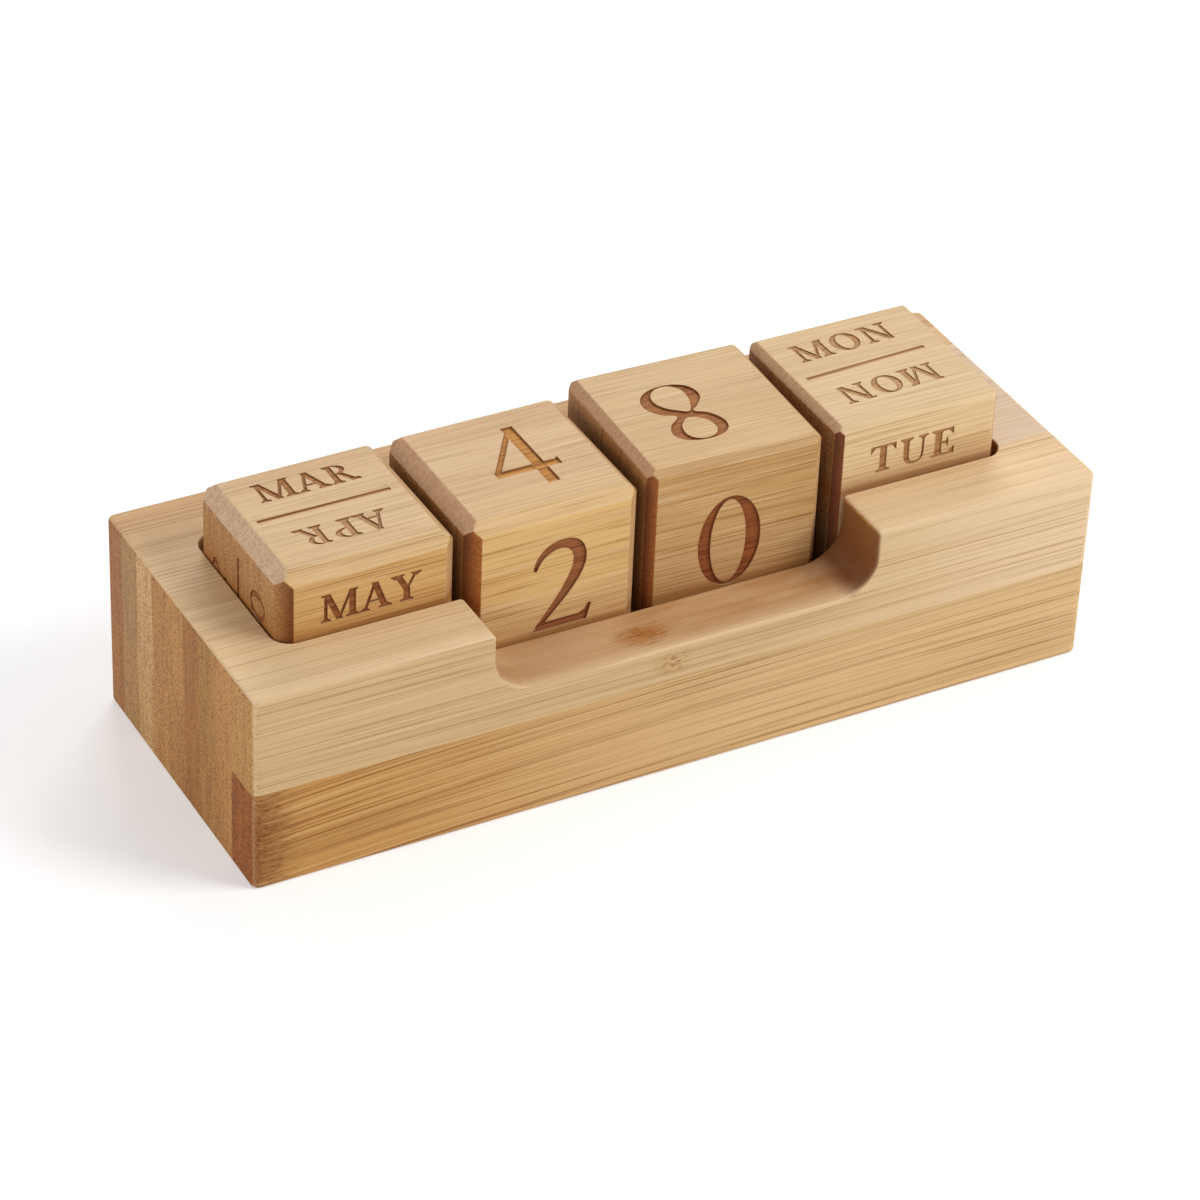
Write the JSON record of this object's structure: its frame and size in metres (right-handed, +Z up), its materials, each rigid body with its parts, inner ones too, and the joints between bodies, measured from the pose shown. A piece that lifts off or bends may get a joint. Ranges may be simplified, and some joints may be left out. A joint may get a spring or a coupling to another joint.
{
  "type": "perpetual desk calendar",
  "caption": "Glued bamboo block with a milled pocket and a finger scoop, holding a row of loose chamfered cubes that are lifted out and turned to show month, date and weekday.",
  "frame": {"origin": "middle of the block's flat underside", "axes": "+X to the right along the row of cubes, +Y from the finger scoop's side to the back, +Z up"},
  "size_m": [0.2, 0.0746, 0.0644],
  "materials": {
    "base_bamboo_pale": "satin",
    "base_bamboo_caramel": "satin",
    "cube_bamboo": "satin"
  },
  "bodies": {
    "base": {"base_stave_1_lower": "base_bamboo_caramel", "base_stave_1_upper": "base_bamboo_pale", "base_stave_2_lower": "base_bamboo_pale", "base_stave_2_upper": "base_bamboo_pale", "base_stave_3_left": "base_bamboo_pale", "base_stave_3_lower": "base_bamboo_pale", "base_stave_3_right": "base_bamboo_pale", "base_stave_4_left": "base_bamboo_pale", "base_stave_4_lower": "base_bamboo_pale", "base_stave_4_right": "base_bamboo_pale", "base_stave_5_left": "base_bamboo_pale", "base_stave_5_lower": "base_bamboo_pale", "base_stave_5_right": "base_bamboo_pale", "base_stave_6_left": "base_bamboo_pale", "base_stave_6_lower": "base_bamboo_pale", "base_stave_6_right": "base_bamboo_pale", "base_stave_7_left": "base_bamboo_pale", "base_stave_7_lower": "base_bamboo_pale", "base_stave_7_right": "base_bamboo_pale", "base_stave_8_lower": "base_bamboo_caramel", "base_stave_8_upper": "base_bamboo_pale", "base_stave_9_lower": "base_bamboo_caramel", "base_stave_9_upper": "base_bamboo_caramel"},
    "month_cube": {"month_cube_stave_1_lower": "cube_bamboo", "month_cube_stave_1_upper": "cube_bamboo", "month_cube_stave_2_lower": "cube_bamboo", "month_cube_stave_2_upper": "cube_bamboo", "month_cube_stave_3_lower": "cube_bamboo", "month_cube_stave_3_upper": "cube_bamboo", "month_cube_stave_4_lower": "cube_bamboo", "month_cube_stave_4_upper": "cube_bamboo"},
    "tens_cube": {"tens_cube_stave_1_lower": "cube_bamboo", "tens_cube_stave_1_upper": "cube_bamboo", "tens_cube_stave_2_lower": "cube_bamboo", "tens_cube_stave_2_upper": "cube_bamboo", "tens_cube_stave_3_lower": "cube_bamboo", "tens_cube_stave_3_upper": "cube_bamboo", "tens_cube_stave_4_lower": "cube_bamboo", "tens_cube_stave_4_upper": "cube_bamboo"},
    "units_cube": {"units_cube_stave_1_lower": "cube_bamboo", "units_cube_stave_1_upper": "cube_bamboo", "units_cube_stave_2_lower": "cube_bamboo", "units_cube_stave_2_upper": "cube_bamboo", "units_cube_stave_3_lower": "cube_bamboo", "units_cube_stave_3_upper": "cube_bamboo", "units_cube_stave_4_lower": "cube_bamboo", "units_cube_stave_4_upper": "cube_bamboo"},
    "weekday_cube": {"weekday_cube_stave_1_lower": "cube_bamboo", "weekday_cube_stave_1_upper": "cube_bamboo", "weekday_cube_stave_2_lower": "cube_bamboo", "weekday_cube_stave_2_upper": "cube_bamboo", "weekday_cube_stave_3_lower": "cube_bamboo", "weekday_cube_stave_3_upper": "cube_bamboo", "weekday_cube_stave_4_lower": "cube_bamboo", "weekday_cube_stave_4_upper": "cube_bamboo"}
  },
  "joints": [
    {"name": "month_cube_lift", "type": "slide", "parent": "base", "child": "month_cube", "axis": [0, 0, 1], "range_m": [0, 0.045]},
    {"name": "tens_cube_lift", "type": "slide", "parent": "base", "child": "tens_cube", "axis": [0, 0, 1], "range_m": [0, 0.045]},
    {"name": "units_cube_lift", "type": "slide", "parent": "base", "child": "units_cube", "axis": [0, 0, 1], "range_m": [0, 0.045]},
    {"name": "weekday_cube_lift", "type": "slide", "parent": "base", "child": "weekday_cube", "axis": [0, 0, 1], "range_m": [0, 0.045]}
  ]
}
